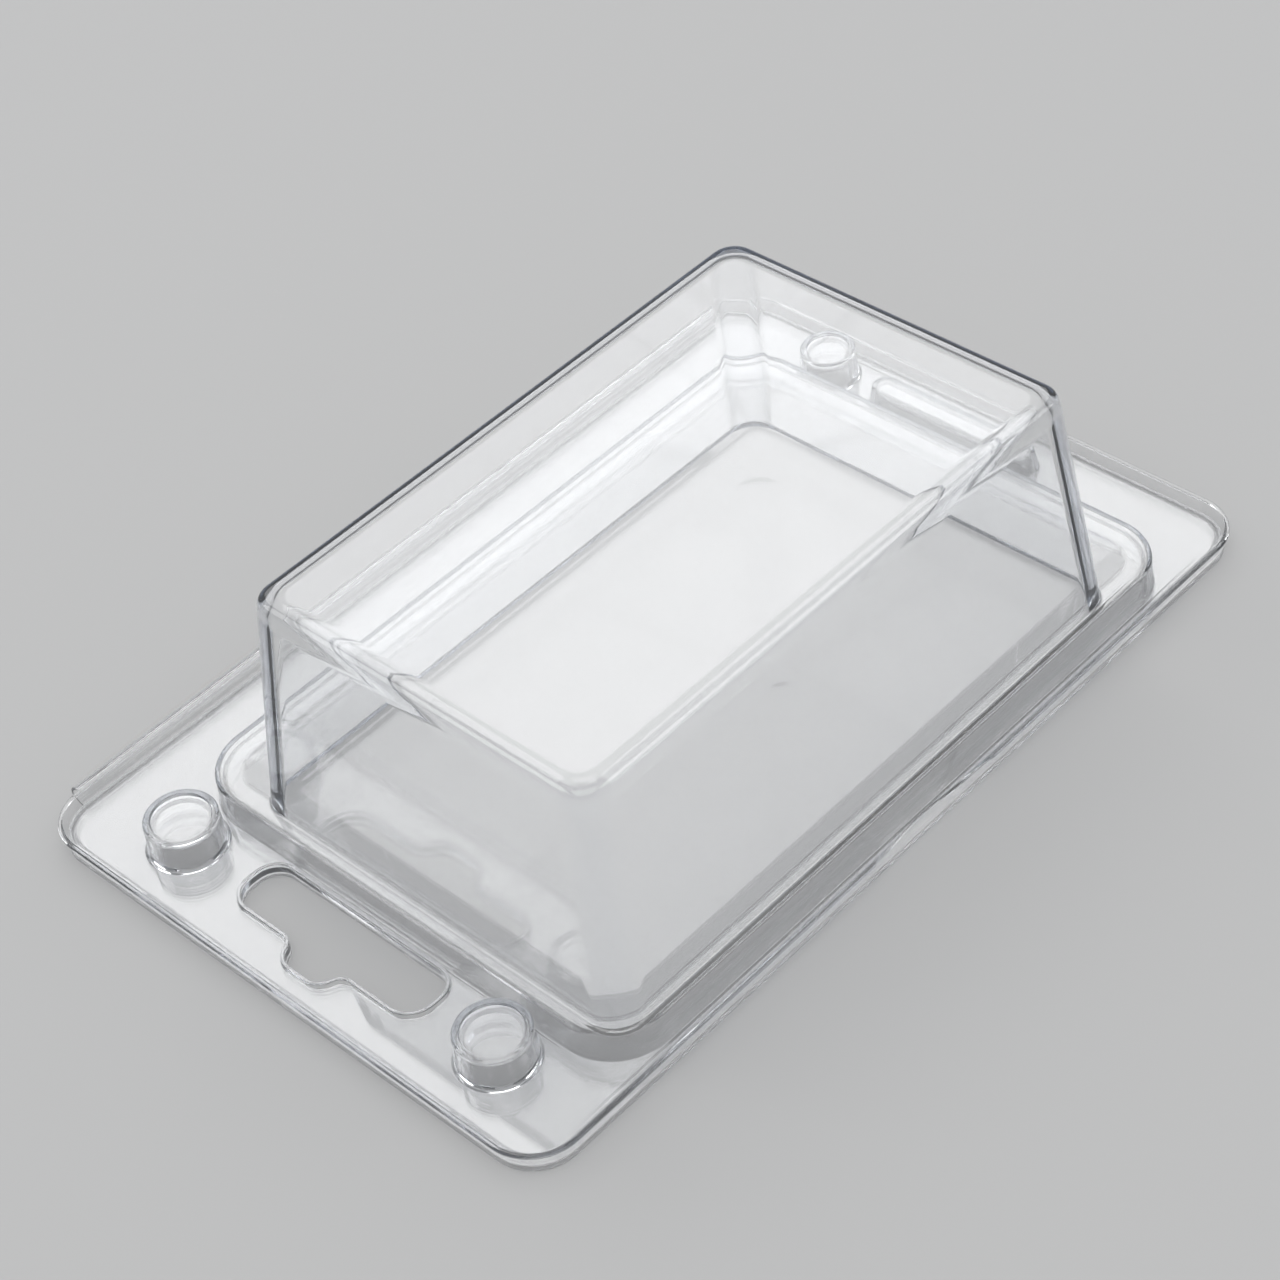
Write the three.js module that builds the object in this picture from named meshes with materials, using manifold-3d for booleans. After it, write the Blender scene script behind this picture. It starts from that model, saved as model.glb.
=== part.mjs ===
// Clear hinged clamshell box: a flat back shell, a domed front shell that snaps onto it,
// and the rolled spine that joins their long edges. Millimetres, +Z up, resting on its back.
// X runs from the hang end (-X) to the far end (+X), the opening edge is at -Y, the hinge at +Y.

import * as THREE from 'three';
import { mergeVertices } from 'three/addons/utils/BufferGeometryUtils.js';
import Module from 'manifold-3d';

const wasm = await Module();
wasm.setup();

// Sheet and fit
const SHEET = 0.5;
const NEST_GAP = 0.3;

// Outline of the box over the rim
const BOX_LENGTH = 134;
const BOX_WIDTH = 88;
const BOX_CORNER_RADIUS = 7;

// Flared rim of the lid, with a small flat lip along its top
const RIM_HEIGHT = 2;
const RIM_FLARE = 1.4;
const LIP_WIDTH = 0.6;

// Edge of the base, drawn in from the rim and turned up
const BASE_INSET = 0.6;
const BASE_EDGE_HEIGHT = 0.6;

// Raised platform round the bubble, and the flange left outside it
const PLATFORM_HEIGHT = 4.5;
const PLATFORM_CORNER_RADIUS = 8;
const PLATFORM_DRAFT = 0.3;
const PLATFORM_EDGE_RADIUS = 0.8;
const OPENING_FLANGE = 0.7;
const HINGE_FLANGE = 9;

// Bubble, its shelf on each side of the platform, and its draft
const BUBBLE_HEIGHT = 33.6;
const BUBBLE_CORNER_RADIUS = 3.5;
const BUBBLE_EDGE_RADIUS = 1.7;
const BUBBLE_DRAFT = 3.3;
const BUBBLE_FOOT_RADIUS = 0.6;
const HANG_SHELF = 2;
const FAR_SHELF = 12.1;
const OPENING_SHELF = 1.3;
const HINGE_SHELF = 11.2;

// Ridge of the base that nests under the platform, sloping down to the floor
const RIDGE_WIDTH = 2.8;
const RIDGE_SLOPE_RUN = 5.5;
const FLOOR_CORNER_RADIUS = 2;

// Hang slot: a long slot with a hook notch towards the hang edge, edged with a low lip
const SLOT_LENGTH = 32;
const SLOT_WIDTH = 7.6;
const SLOT_CORNER_RADIUS = 3.2;
const SLOT_TO_EDGE = 7.7;
const SLOT_TO_PLATFORM = 0.9;
const HOOK_NOTCH_FLAT = 3;
const HOOK_NOTCH_DEPTH = 3.2;
const HOOK_NOTCH_RADIUS = 2.6;
const HOOK_SHOULDER_RADIUS = 2.2;
const SLOT_LIP_HEIGHT = 0.8;

// Snaps, two by the slot and one at the far end: round caps with a flared foot,
// and a ring round a shallow dimple on top
const SNAP_RADIUS = 4.95;
const SNAP_SPACING = 54.6;
const FAR_SNAP_RADIUS = 4.05;
const SNAP_CLEARANCE = 0.4;
const SNAP_HEIGHT = 4.8;
const SNAP_FLARE = 0.45;
const SNAP_FLARE_HEIGHT = 0.8;
const SNAP_DRAFT = 0.15;
const SNAP_EDGE_RADIUS = 0.4;
const SNAP_RING_WIDTH = 0.5;
const SNAP_DIMPLE_DEPTH = 0.3;

// Locking bar on the far flange
const BAR_LENGTH = 28;
const BAR_WIDTH = 5;
const BAR_HEIGHT = 3;
const BAR_DRAFT = 0.6;
const BAR_TO_SNAP = 3.9;

// Thumb notch in the opening edge of the lid
const NOTCH_LENGTH = 23;
const NOTCH_DEPTH = 2.3;

// Rolled spine of the hinge
const SPINE_SHEET = 0.36;
const CREASE_GAP = 0.4;

// Smoothness of the curves
const CORNER_STEPS = 8;
const EDGE_STEPS = 4;
const ROUND_STEPS = 32;
const SPINE_STEPS = 12;

// Heights and edges worked out from the sizes above
const BASE_TOP = SHEET;
const LID_BOTTOM = BASE_TOP + NEST_GAP;
const LID_TOP = LID_BOTTOM + SHEET;
const RIM_TOP = LID_TOP + RIM_HEIGHT;
const PLATFORM_TOP = LID_TOP + PLATFORM_HEIGHT;
const BUBBLE_TOP = PLATFORM_TOP + BUBBLE_HEIGHT;
const RIM_ZONE = RIM_FLARE + LIP_WIDTH;
const NEST = SHEET + NEST_GAP;
const OVERCUT = 1;

const OUTLINE = {
  x0: -BOX_LENGTH / 2,
  x1: BOX_LENGTH / 2,
  y0: -BOX_WIDTH / 2,
  y1: BOX_WIDTH / 2,
  radius: BOX_CORNER_RADIUS,
};
const FOLD = inset(OUTLINE, RIM_ZONE);
const SLOT_OUTER_X = OUTLINE.x0 + SLOT_TO_EDGE;
const SLOT_INNER_X = SLOT_OUTER_X + SLOT_WIDTH;
const FAR_FLANGE = 2 * (FAR_SNAP_RADIUS + SNAP_FLARE + SNAP_CLEARANCE);
const PLATFORM_FOOT = {
  x0: SLOT_INNER_X + SLOT_TO_PLATFORM,
  x1: FOLD.x1 - FAR_FLANGE,
  y0: FOLD.y0 + OPENING_FLANGE,
  y1: FOLD.y1 - HINGE_FLANGE,
  radius: PLATFORM_CORNER_RADIUS + PLATFORM_DRAFT,
};
const PLATFORM = inset(PLATFORM_FOOT, PLATFORM_DRAFT);
const BUBBLE_FOOT = {
  x0: PLATFORM.x0 + HANG_SHELF,
  x1: PLATFORM.x1 - FAR_SHELF,
  y0: PLATFORM.y0 + OPENING_SHELF,
  y1: PLATFORM.y1 - HINGE_SHELF,
  radius: BUBBLE_CORNER_RADIUS,
};
const FAR_FLANGE_X = FOLD.x1 - FAR_FLANGE / 2;
const SNAP_X = PLATFORM_FOOT.x0 - SNAP_CLEARANCE / 2 - SNAP_FLARE - SNAP_RADIUS;
const FAR_SNAP_Y = BAR_LENGTH / 2 + BAR_TO_SNAP + FAR_SNAP_RADIUS;
const SNAP_TOP = LID_TOP + SNAP_HEIGHT;
const SNAP_CEILING = SNAP_TOP - SNAP_DIMPLE_DEPTH - SHEET;
const STUD_TOP = SNAP_CEILING - NEST_GAP;
const SNAPS = [
  { x: SNAP_X, y: SNAP_SPACING / 2, radius: SNAP_RADIUS },
  { x: SNAP_X, y: -SNAP_SPACING / 2, radius: SNAP_RADIUS },
  { x: FAR_FLANGE_X, y: FAR_SNAP_Y, radius: FAR_SNAP_RADIUS },
];

// The spine rolls from the base's edge up to the lid's lip
const BASE_EDGE_Y = OUTLINE.y1 - BASE_INSET;
const ROLL_BOTTOM = BASE_TOP / 2;
const ROLL_TOP = RIM_TOP - SHEET / 2;
const ROLL_RADIUS = (ROLL_TOP - ROLL_BOTTOM) / 2;
const ROLL_CENTRE = { y: OUTLINE.y1 + CREASE_GAP / 2, z: (ROLL_TOP + ROLL_BOTTOM) / 2 };
const SPINE_REACH = ROLL_CENTRE.y + ROLL_RADIUS + SPINE_SHEET / 2;
const CENTRE_Y = (SPINE_REACH + OUTLINE.y0) / 2;

// Bounds drawn in on all sides by an amount, with the corner radius following
function inset(bounds, amount) {
  return {
    x0: bounds.x0 + amount,
    x1: bounds.x1 - amount,
    y0: bounds.y0 + amount,
    y1: bounds.y1 - amount,
    radius: Math.max(bounds.radius - amount, SHEET / 2),
  };
}

// Outline of a rounded rectangle, anticlockwise from the right side
function roundedRectangle({ x0, x1, y0, y1, radius }) {
  const corners = [
    [x1 - radius, y0 + radius, -Math.PI / 2],
    [x1 - radius, y1 - radius, 0],
    [x0 + radius, y1 - radius, Math.PI / 2],
    [x0 + radius, y0 + radius, Math.PI],
  ];
  const points = [];
  for (const [cx, cy, start] of corners) {
    for (let step = 0; step <= CORNER_STEPS; step += 1) {
      const angle = start + (step / CORNER_STEPS) * (Math.PI / 2);
      points.push(new THREE.Vector2(cx + radius * Math.cos(angle), cy + radius * Math.sin(angle)));
    }
  }
  return points;
}

// Closed solid through level rounded rectangles, listed from the bottom up
function loft(levels) {
  const rings = levels.map(({ bounds, z }) => ({ points: roundedRectangle(bounds), z }));
  const count = rings[0].points.length;
  const positions = rings.flatMap(({ points, z }) => points.flatMap((p) => [p.x, p.y, z]));
  const index = [];
  for (let ring = 0; ring < rings.length - 1; ring += 1) {
    for (let i = 0; i < count; i += 1) {
      const a = ring * count + i;
      const b = ring * count + ((i + 1) % count);
      index.push(a, b, b + count, a, b + count, a + count);
    }
  }
  const last = (rings.length - 1) * count;
  for (let i = 1; i < count - 1; i += 1) {
    index.push(0, i + 1, i);
    index.push(last, last + i, last + i + 1);
  }
  const geometry = new THREE.BufferGeometry();
  geometry.setAttribute('position', new THREE.Float32BufferAttribute(positions, 3));
  geometry.setIndex(index);
  return solid(geometry);
}

// Upright extrusion of a shape between two heights
function prism(shape, bottom, top) {
  const geometry = new THREE.ExtrudeGeometry(shape, {
    depth: top - bottom,
    bevelEnabled: false,
    curveSegments: CORNER_STEPS,
  });
  geometry.translate(0, 0, bottom);
  return solid(geometry);
}

// Solid of revolution about an upright axis, from radius and height pairs that meet the axis
function turned(profile, x, y) {
  const points = profile.map(([radius, z]) => new THREE.Vector2(radius, z));
  const geometry = new THREE.LatheGeometry(points, ROUND_STEPS);
  geometry.rotateX(Math.PI / 2);
  geometry.translate(x, y, 0);
  return solid(geometry);
}

// Solid for joining and cutting
function solid(geometry) {
  geometry.deleteAttribute('normal');
  geometry.deleteAttribute('uv');
  const merged = mergeVertices(geometry, 1e-4);
  const mesh = new wasm.Mesh({
    numProp: 3,
    vertProperties: new Float32Array(merged.attributes.position.array),
    triVerts: new Uint32Array(merged.index.array),
  });
  return new wasm.Manifold(mesh);
}

// Named mesh of a finished solid
function part(name, body, colour) {
  const { vertProperties, triVerts } = body.getMesh();
  const geometry = new THREE.BufferGeometry();
  geometry.setAttribute('position', new THREE.BufferAttribute(new Float32Array(vertProperties), 3));
  geometry.setIndex(new THREE.BufferAttribute(new Uint32Array(triVerts), 1));
  geometry.computeVertexNormals();
  const material = new THREE.MeshStandardMaterial({
    color: colour,
    roughness: 0.06,
    metalness: 0,
    transparent: true,
    opacity: 0.35,
  });
  const mesh = new THREE.Mesh(geometry, material);
  mesh.name = name;
  return mesh;
}

// Levels of a rounded top edge: bounds at full width below, drawn in by the radius at the top
function roundedEdge(bounds, top, radius) {
  const levels = [];
  for (let step = 0; step <= EDGE_STEPS; step += 1) {
    const angle = (step / EDGE_STEPS) * (Math.PI / 2);
    const drawnIn = radius * (1 - Math.cos(angle));
    levels.push({ bounds: inset(bounds, drawnIn), z: top - radius * (1 - Math.sin(angle)) });
  }
  return levels;
}

// Platform and bubble, measured from the lid's upper face and drawn in by an offset
function dome(offset, bottom) {
  const shelf = PLATFORM_TOP - offset;
  const roof = BUBBLE_TOP - offset;
  const foot = inset(BUBBLE_FOOT, offset);
  const crown = { ...inset(foot, BUBBLE_DRAFT), radius: foot.radius };
  const platformEdge = Math.max(PLATFORM_EDGE_RADIUS - offset, SHEET / 2);
  return loft([
    { bounds: inset(PLATFORM_FOOT, offset), z: bottom },
    ...roundedEdge(inset(PLATFORM, offset), shelf, platformEdge),
    { bounds: inset(foot, -BUBBLE_FOOT_RADIUS / 2), z: shelf },
    { bounds: foot, z: shelf + BUBBLE_FOOT_RADIUS },
    ...roundedEdge(crown, roof, Math.max(BUBBLE_EDGE_RADIUS - offset, SHEET)),
  ]);
}

// Plain drafted cup with a bevelled top edge, straight below a level
function cup(foot, top, level, bottom) {
  return [
    [0, bottom],
    [foot, bottom],
    [foot, level],
    [foot - SNAP_DRAFT, top - SNAP_EDGE_RADIUS],
    [foot - SNAP_DRAFT - SNAP_EDGE_RADIUS, top],
    [0, top],
  ];
}

// Outside of a snap cap: flared foot, wall, rounded edge, ring and the dimple inside the ring
function snapCap(radius) {
  const wall = radius - SNAP_DRAFT;
  const ring = wall - SNAP_EDGE_RADIUS;
  const dimple = ring - SNAP_RING_WIDTH;
  const foot = radius + SNAP_FLARE;
  const profile = [
    [0, LID_BOTTOM],
    [foot, LID_BOTTOM],
    [foot, LID_TOP],
    [radius, LID_TOP + SNAP_FLARE_HEIGHT],
  ];
  for (let step = 0; step <= EDGE_STEPS; step += 1) {
    const angle = (step / EDGE_STEPS) * (Math.PI / 2);
    const reach = SNAP_EDGE_RADIUS * Math.cos(angle);
    profile.push([ring + reach, SNAP_TOP - SNAP_EDGE_RADIUS * (1 - Math.sin(angle))]);
  }
  profile.push([dimple, SNAP_TOP]);
  profile.push([dimple - SNAP_DRAFT / 2, SNAP_TOP - SNAP_DIMPLE_DEPTH]);
  profile.push([0, SNAP_TOP - SNAP_DIMPLE_DEPTH]);
  return profile;
}

// Locking bar, drawn in by an offset
function bar(offset, bottom, top) {
  const half = BAR_WIDTH / 2;
  const foot = {
    x0: FAR_FLANGE_X - half,
    x1: FAR_FLANGE_X + half,
    y0: -BAR_LENGTH / 2,
    y1: BAR_LENGTH / 2,
    radius: half,
  };
  return loft([
    { bounds: inset(foot, offset), z: bottom },
    { bounds: inset(foot, offset + BAR_DRAFT / 2), z: top - BAR_DRAFT },
    { bounds: inset(foot, offset + BAR_DRAFT), z: top },
  ]);
}

// Outline of the hang slot, grown by an amount: the notch joins the slot's side through two bends each way
function slotShape(grow) {
  const inner = SLOT_INNER_X + grow;
  const outer = SLOT_OUTER_X - grow;
  const end = SLOT_LENGTH / 2 + grow;
  const radius = SLOT_CORNER_RADIUS + grow;
  const bends = HOOK_NOTCH_RADIUS + HOOK_SHOULDER_RADIUS;
  const sweep = Math.acos(1 - HOOK_NOTCH_DEPTH / bends);
  const notch = { x: SLOT_OUTER_X - HOOK_NOTCH_DEPTH + HOOK_NOTCH_RADIUS, y: HOOK_NOTCH_FLAT / 2 };
  const shoulder = { x: SLOT_OUTER_X - HOOK_SHOULDER_RADIUS, y: notch.y + bends * Math.sin(sweep) };
  const notchRadius = HOOK_NOTCH_RADIUS + grow;
  const shoulderRadius = HOOK_SHOULDER_RADIUS - grow;
  const shape = new THREE.Shape();
  shape.moveTo(inner, -end + radius);
  shape.lineTo(inner, end - radius);
  shape.absarc(inner - radius, end - radius, radius, 0, Math.PI / 2, false);
  shape.absarc(outer + radius, end - radius, radius, Math.PI / 2, Math.PI, false);
  shape.absarc(shoulder.x, shoulder.y, shoulderRadius, 0, -sweep, true);
  shape.absarc(notch.x, notch.y, notchRadius, Math.PI - sweep, Math.PI, false);
  shape.absarc(notch.x, -notch.y, notchRadius, Math.PI, Math.PI + sweep, false);
  shape.absarc(shoulder.x, -shoulder.y, shoulderRadius, sweep, 0, true);
  shape.absarc(outer + radius, radius - end, radius, Math.PI, 1.5 * Math.PI, false);
  shape.absarc(inner - radius, radius - end, radius, -Math.PI / 2, 0, false);
  return shape;
}

// Round cut that scoops the thumb notch out of the lid's opening edge
function thumbNotch() {
  const half = NOTCH_LENGTH / 2;
  const radius = (half * half + NOTCH_DEPTH * NOTCH_DEPTH) / (2 * NOTCH_DEPTH);
  const middle = (PLATFORM.x0 + PLATFORM.x1) / 2;
  const shape = new THREE.Shape();
  shape.absarc(middle, OUTLINE.y0 + NOTCH_DEPTH - radius, radius, 0, 2 * Math.PI, false);
  const geometry = new THREE.ExtrudeGeometry(shape, {
    depth: RIM_TOP - LID_BOTTOM + 2 * OVERCUT,
    bevelEnabled: false,
    curveSegments: 3 * ROUND_STEPS,
  });
  geometry.translate(0, 0, LID_BOTTOM - OVERCUT);
  return solid(geometry);
}

function lidShell() {
  const underside = inset(FOLD, -SHEET * 0.7);
  const wallTop = inset(OUTLINE, LIP_WIDTH - SHEET * 0.7);
  const tray = loft([
    { bounds: underside, z: LID_BOTTOM },
    { bounds: wallTop, z: RIM_TOP - SHEET },
    { bounds: OUTLINE, z: RIM_TOP - SHEET },
    { bounds: OUTLINE, z: RIM_TOP },
  ]);
  const well = loft([
    { bounds: FOLD, z: LID_TOP },
    { bounds: inset(OUTLINE, LIP_WIDTH), z: RIM_TOP },
    { bounds: inset(OUTLINE, LIP_WIDTH), z: RIM_TOP + OVERCUT },
  ]);
  const below = LID_BOTTOM - OVERCUT;
  const slotLip = prism(slotShape(SHEET), LID_BOTTOM, LID_TOP + SLOT_LIP_HEIGHT);
  let shell = tray.subtract(well).add(slotLip).add(dome(0, LID_BOTTOM));
  shell = shell.add(bar(0, LID_BOTTOM, LID_TOP + BAR_HEIGHT));
  for (const { x, y, radius } of SNAPS) {
    shell = shell.add(turned(snapCap(radius), x, y));
  }
  shell = shell.subtract(dome(SHEET, below));
  shell = shell.subtract(bar(SHEET, below, LID_TOP + BAR_HEIGHT - SHEET));
  for (const { x, y, radius } of SNAPS) {
    shell = shell.subtract(turned(cup(radius - SHEET, SNAP_CEILING, LID_BOTTOM, below), x, y));
  }
  shell = shell.subtract(prism(slotShape(0), below, PLATFORM_TOP));
  return shell.subtract(thumbNotch());
}

function baseShell() {
  const edge = inset(OUTLINE, BASE_INSET);
  const plate = loft([
    { bounds: edge, z: 0 },
    { bounds: edge, z: BASE_TOP + BASE_EDGE_HEIGHT },
  ]);
  const well = loft([
    { bounds: inset(edge, SHEET), z: BASE_TOP },
    { bounds: inset(edge, SHEET), z: BASE_TOP + BASE_EDGE_HEIGHT + OVERCUT },
  ]);
  const ridgeTop = PLATFORM_TOP - NEST;
  const ridge = (offset, bottom) => loft([
    { bounds: inset(PLATFORM_FOOT, NEST + offset), z: bottom },
    ...roundedEdge(inset(PLATFORM, NEST + offset), ridgeTop - offset, SHEET),
  ]);
  const rampTop = inset(PLATFORM, NEST + RIDGE_WIDTH);
  const rampFoot = { ...inset(rampTop, RIDGE_SLOPE_RUN), radius: FLOOR_CORNER_RADIUS };
  const pocket = loft([
    { bounds: rampFoot, z: BASE_TOP },
    { bounds: rampTop, z: ridgeTop },
    { bounds: rampTop, z: ridgeTop + OVERCUT },
  ]);
  const core = loft([
    { bounds: inset(rampFoot, -SHEET), z: -2 * OVERCUT },
    { bounds: inset(rampFoot, -SHEET), z: 0 },
    { bounds: inset(rampTop, -SHEET), z: ridgeTop },
  ]);
  const groove = ridge(SHEET, -OVERCUT).subtract(core);
  let shell = plate.subtract(well).add(ridge(0, 0));
  shell = shell.add(bar(NEST, 0, LID_TOP + BAR_HEIGHT - NEST));
  for (const { x, y, radius } of SNAPS) {
    shell = shell.add(turned(cup(radius - NEST, STUD_TOP, BASE_TOP, 0), x, y));
  }
  shell = shell.subtract(pocket).subtract(groove);
  shell = shell.subtract(bar(NEST + SHEET, -OVERCUT, LID_TOP + BAR_HEIGHT - NEST - SHEET));
  for (const { x, y, radius } of SNAPS) {
    const hollow = cup(radius - NEST - SHEET, STUD_TOP - SHEET, 0, -OVERCUT);
    shell = shell.subtract(turned(hollow, x, y));
  }
  return shell.subtract(prism(slotShape(0), -OVERCUT, PLATFORM_TOP));
}

// Rolled strip whose section opens towards the box, drawn in the YZ plane
function hingeSpine() {
  const half = SPINE_SHEET / 2;
  const startAngle = -Math.PI / 2;
  const endAngle = Math.acos(CREASE_GAP / 2 / ROLL_RADIUS);
  const shape = new THREE.Shape();
  shape.moveTo(BASE_EDGE_Y + CREASE_GAP, ROLL_BOTTOM - half);
  shape.absarc(ROLL_CENTRE.y, ROLL_CENTRE.z, ROLL_RADIUS + half, startAngle, endAngle, false);
  shape.absarc(ROLL_CENTRE.y, ROLL_CENTRE.z, ROLL_RADIUS - half, endAngle, startAngle, true);
  shape.lineTo(BASE_EDGE_Y + CREASE_GAP, ROLL_BOTTOM + half);
  const length = BOX_LENGTH - 2 * BOX_CORNER_RADIUS;
  const geometry = new THREE.ExtrudeGeometry(shape, {
    depth: length,
    bevelEnabled: false,
    curveSegments: SPINE_STEPS,
  });
  geometry.applyMatrix4(new THREE.Matrix4().makeBasis(
    new THREE.Vector3(0, 1, 0),
    new THREE.Vector3(0, 0, 1),
    new THREE.Vector3(1, 0, 0),
  ));
  geometry.translate(-length / 2, 0, 0);
  return solid(geometry);
}

const clamshell = new THREE.Group();
clamshell.add(part('base_shell', baseShell(), 0xe9edf0));
clamshell.add(part('lid_shell', lidShell(), 0xf2f5f7));
clamshell.add(part('hinge_spine', hingeSpine(), 0xf4f6f8));
clamshell.position.y = -CENTRE_Y;

export default clamshell;
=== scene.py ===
"""Looks of the clear clamshell box: three formed sheets of real gauge, two crease films,
and the floor, light and camera."""
import math

import bmesh
import bpy
from mathutils import Matrix, Vector
from mathutils.geometry import tessellate_polygon


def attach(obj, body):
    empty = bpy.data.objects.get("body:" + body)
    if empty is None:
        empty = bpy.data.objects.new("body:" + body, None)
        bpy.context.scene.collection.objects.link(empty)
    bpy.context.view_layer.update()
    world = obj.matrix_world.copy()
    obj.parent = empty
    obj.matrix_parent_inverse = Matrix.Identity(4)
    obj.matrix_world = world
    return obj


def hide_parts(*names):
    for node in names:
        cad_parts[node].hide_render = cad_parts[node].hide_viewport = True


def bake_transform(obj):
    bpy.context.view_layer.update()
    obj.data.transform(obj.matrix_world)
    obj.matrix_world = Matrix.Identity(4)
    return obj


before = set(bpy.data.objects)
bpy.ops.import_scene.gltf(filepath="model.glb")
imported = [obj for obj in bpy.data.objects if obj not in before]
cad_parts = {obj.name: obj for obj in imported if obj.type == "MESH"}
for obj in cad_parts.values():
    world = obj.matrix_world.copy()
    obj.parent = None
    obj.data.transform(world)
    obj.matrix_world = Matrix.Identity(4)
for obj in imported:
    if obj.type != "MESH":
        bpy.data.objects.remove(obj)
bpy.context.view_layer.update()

MM = 0.001

# Sheet and fit: these and all sizes down to the heights are in millimetres
SHEET = 0.5
NEST_GAP = 0.3
NEST = SHEET + NEST_GAP

# Outline, rim and base edge
BOX_LENGTH = 134.0
BOX_WIDTH = 88.0
BOX_CORNER_RADIUS = 7.0
RIM_HEIGHT = 2.0
RIM_FLARE = 1.4
LIP_WIDTH = 0.6
BASE_INSET = 0.6
BASE_EDGE_HEIGHT = 0.6

# Platform, bubble and ridge
PLATFORM_HEIGHT = 4.5
PLATFORM_CORNER_RADIUS = 8.0
PLATFORM_DRAFT = 0.3
PLATFORM_EDGE_RADIUS = 0.8
OPENING_FLANGE = 0.7
HINGE_FLANGE = 9.0
BUBBLE_HEIGHT = 33.6
BUBBLE_CORNER_RADIUS = 3.5
BUBBLE_EDGE_RADIUS = 1.7
BUBBLE_DRAFT = 3.3
BUBBLE_FOOT_RADIUS = 0.6
HANG_SHELF = 2.0
FAR_SHELF = 12.1
OPENING_SHELF = 1.3
HINGE_SHELF = 11.2
RIDGE_WIDTH = 2.8
RIDGE_SLOPE_RUN = 5.5
FLOOR_CORNER_RADIUS = 2.0

# Hang slot
SLOT_LENGTH = 32.0
SLOT_WIDTH = 7.6
SLOT_CORNER_RADIUS = 3.2
SLOT_TO_EDGE = 7.7
SLOT_TO_PLATFORM = 0.9
HOOK_NOTCH_FLAT = 3.0
HOOK_NOTCH_DEPTH = 3.2
HOOK_NOTCH_RADIUS = 2.6
HOOK_SHOULDER_RADIUS = 2.2
SLOT_LIP_HEIGHT = 0.8

# Snaps and locking bar
SNAP_RADIUS = 4.95
SNAP_SPACING = 54.6
FAR_SNAP_RADIUS = 4.05
SNAP_CLEARANCE = 0.4
SNAP_HEIGHT = 4.8
SNAP_FLARE = 0.45
SNAP_FLARE_HEIGHT = 0.8
SNAP_DRAFT = 0.15
SNAP_EDGE_RADIUS = 0.4
SNAP_RING_WIDTH = 0.5
SNAP_DIMPLE_DEPTH = 0.3
BAR_LENGTH = 28.0
BAR_WIDTH = 5.0
BAR_HEIGHT = 3.0
BAR_DRAFT = 0.6
BAR_TO_SNAP = 3.9

# Thumb notch and spine
NOTCH_LENGTH = 23.0
NOTCH_DEPTH = 2.3
SPINE_SHEET = 0.36
CREASE_GAP = 0.4
CREASE_FILM = 0.14

# Smoothness
CORNER_STEPS = 12
ARC_STEPS = 5
ROUND_STEPS = 72
NOTCH_STEPS = 240
ROLL_STEPS = 28
FILM_STEPS = 8
SUPPORT = 0.12
SUPPORT_SHARE = 0.1
SUPPORT_LEAST = 0.02
FILLET_SHARE = 0.42
LEAST_RADIUS = 0.2
LEAST_BUBBLE_RADIUS = 0.3
STRAIGHT_TURN = 0.01
WELD_DISTANCE = 0.002
SHARP_DEGREES = 38

# Small folds of the lid, and margins of flat sheet kept round each form
TOE_RADIUS = 0.22
EDGE_STEP = 0.02
RIM_LEAN = 0.52
LIP_FOLD_RADIUS = 0.3
LIP_FOLD_LOSS = 0.3
RIM_FOLD_RADIUS = 0.4
RIM_FOLD_GAIN = 0.5
RIM_MARGIN = 0.62
PLATFORM_TOE_SHARE = 0.9
PLATFORM_TOE_MARGIN = 0.05
SHELF_MARGIN = 1.0
BUBBLE_TOE_MARGIN = 0.15
CORNER_BUILD = 3
ROOF_MARGIN = 6.0
CAP_TOE_MARGIN = 0.18
CAP_TOE_RADIUS = 0.15
CAP_FLARE_RADIUS = 0.6
CAP_RING_RADIUS = 0.2
CAP_DISH_RADIUS = 0.25
SLOT_TOE_MARGIN = 0.32
SLOT_TOE_RADIUS = 0.15
SLOT_LIP_RADIUS = 0.2

# Small folds of caps, studs and bars
ROUND_TOE_MARGIN = 0.3
ROUND_TOE_RADIUS = 0.25
ROUND_CENTRE = 0.6
BAR_TOE_MARGIN = 0.4
BAR_TOE_RADIUS = 0.3
BAR_EDGE_RADIUS = 0.55
BAR_EDGE_LOSS = 0.5
BAR_TOP_MARGIN = 0.9
BASE_BAR_DRAFT_SHARE = 0.5
BASE_BAR_EDGE_RADIUS = 0.3
BASE_BAR_TOP_MARGIN = 0.5

# Small folds of the base
BASE_EDGE_START = 0.1
BASE_EDGE_RADIUS = 0.2
BASE_FOLD_RADIUS = 0.3
BASE_MARGIN = 0.7
UNDERSIDE_START = 0.25
UNDERSIDE_MARGIN = 0.6
RIDGE_TOE_MARGIN = 0.5
RIDGE_TOE_RADIUS = 0.3
RIDGE_TOE_GAIN = 0.3
RIDGE_EDGE_RADIUS = 0.7
RIDGE_EDGE_LOSS = 0.6
RIDGE_LEAN = 0.8
RAMP_AIM_RUN = 0.45
RAMP_AIM_RISE = 0.55
RAMP_START = 0.2
RAMP_LEAN = 0.9
RAMP_FOOT_RADIUS = 1.2
FLOOR_MARGIN = 2.5

# Notch cutter and strips
CUT_BELOW = 0.2
CUT_ABOVE = 0.3
STRIP_END = 0.2
FILM_OVERLAP = 0.1

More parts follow.
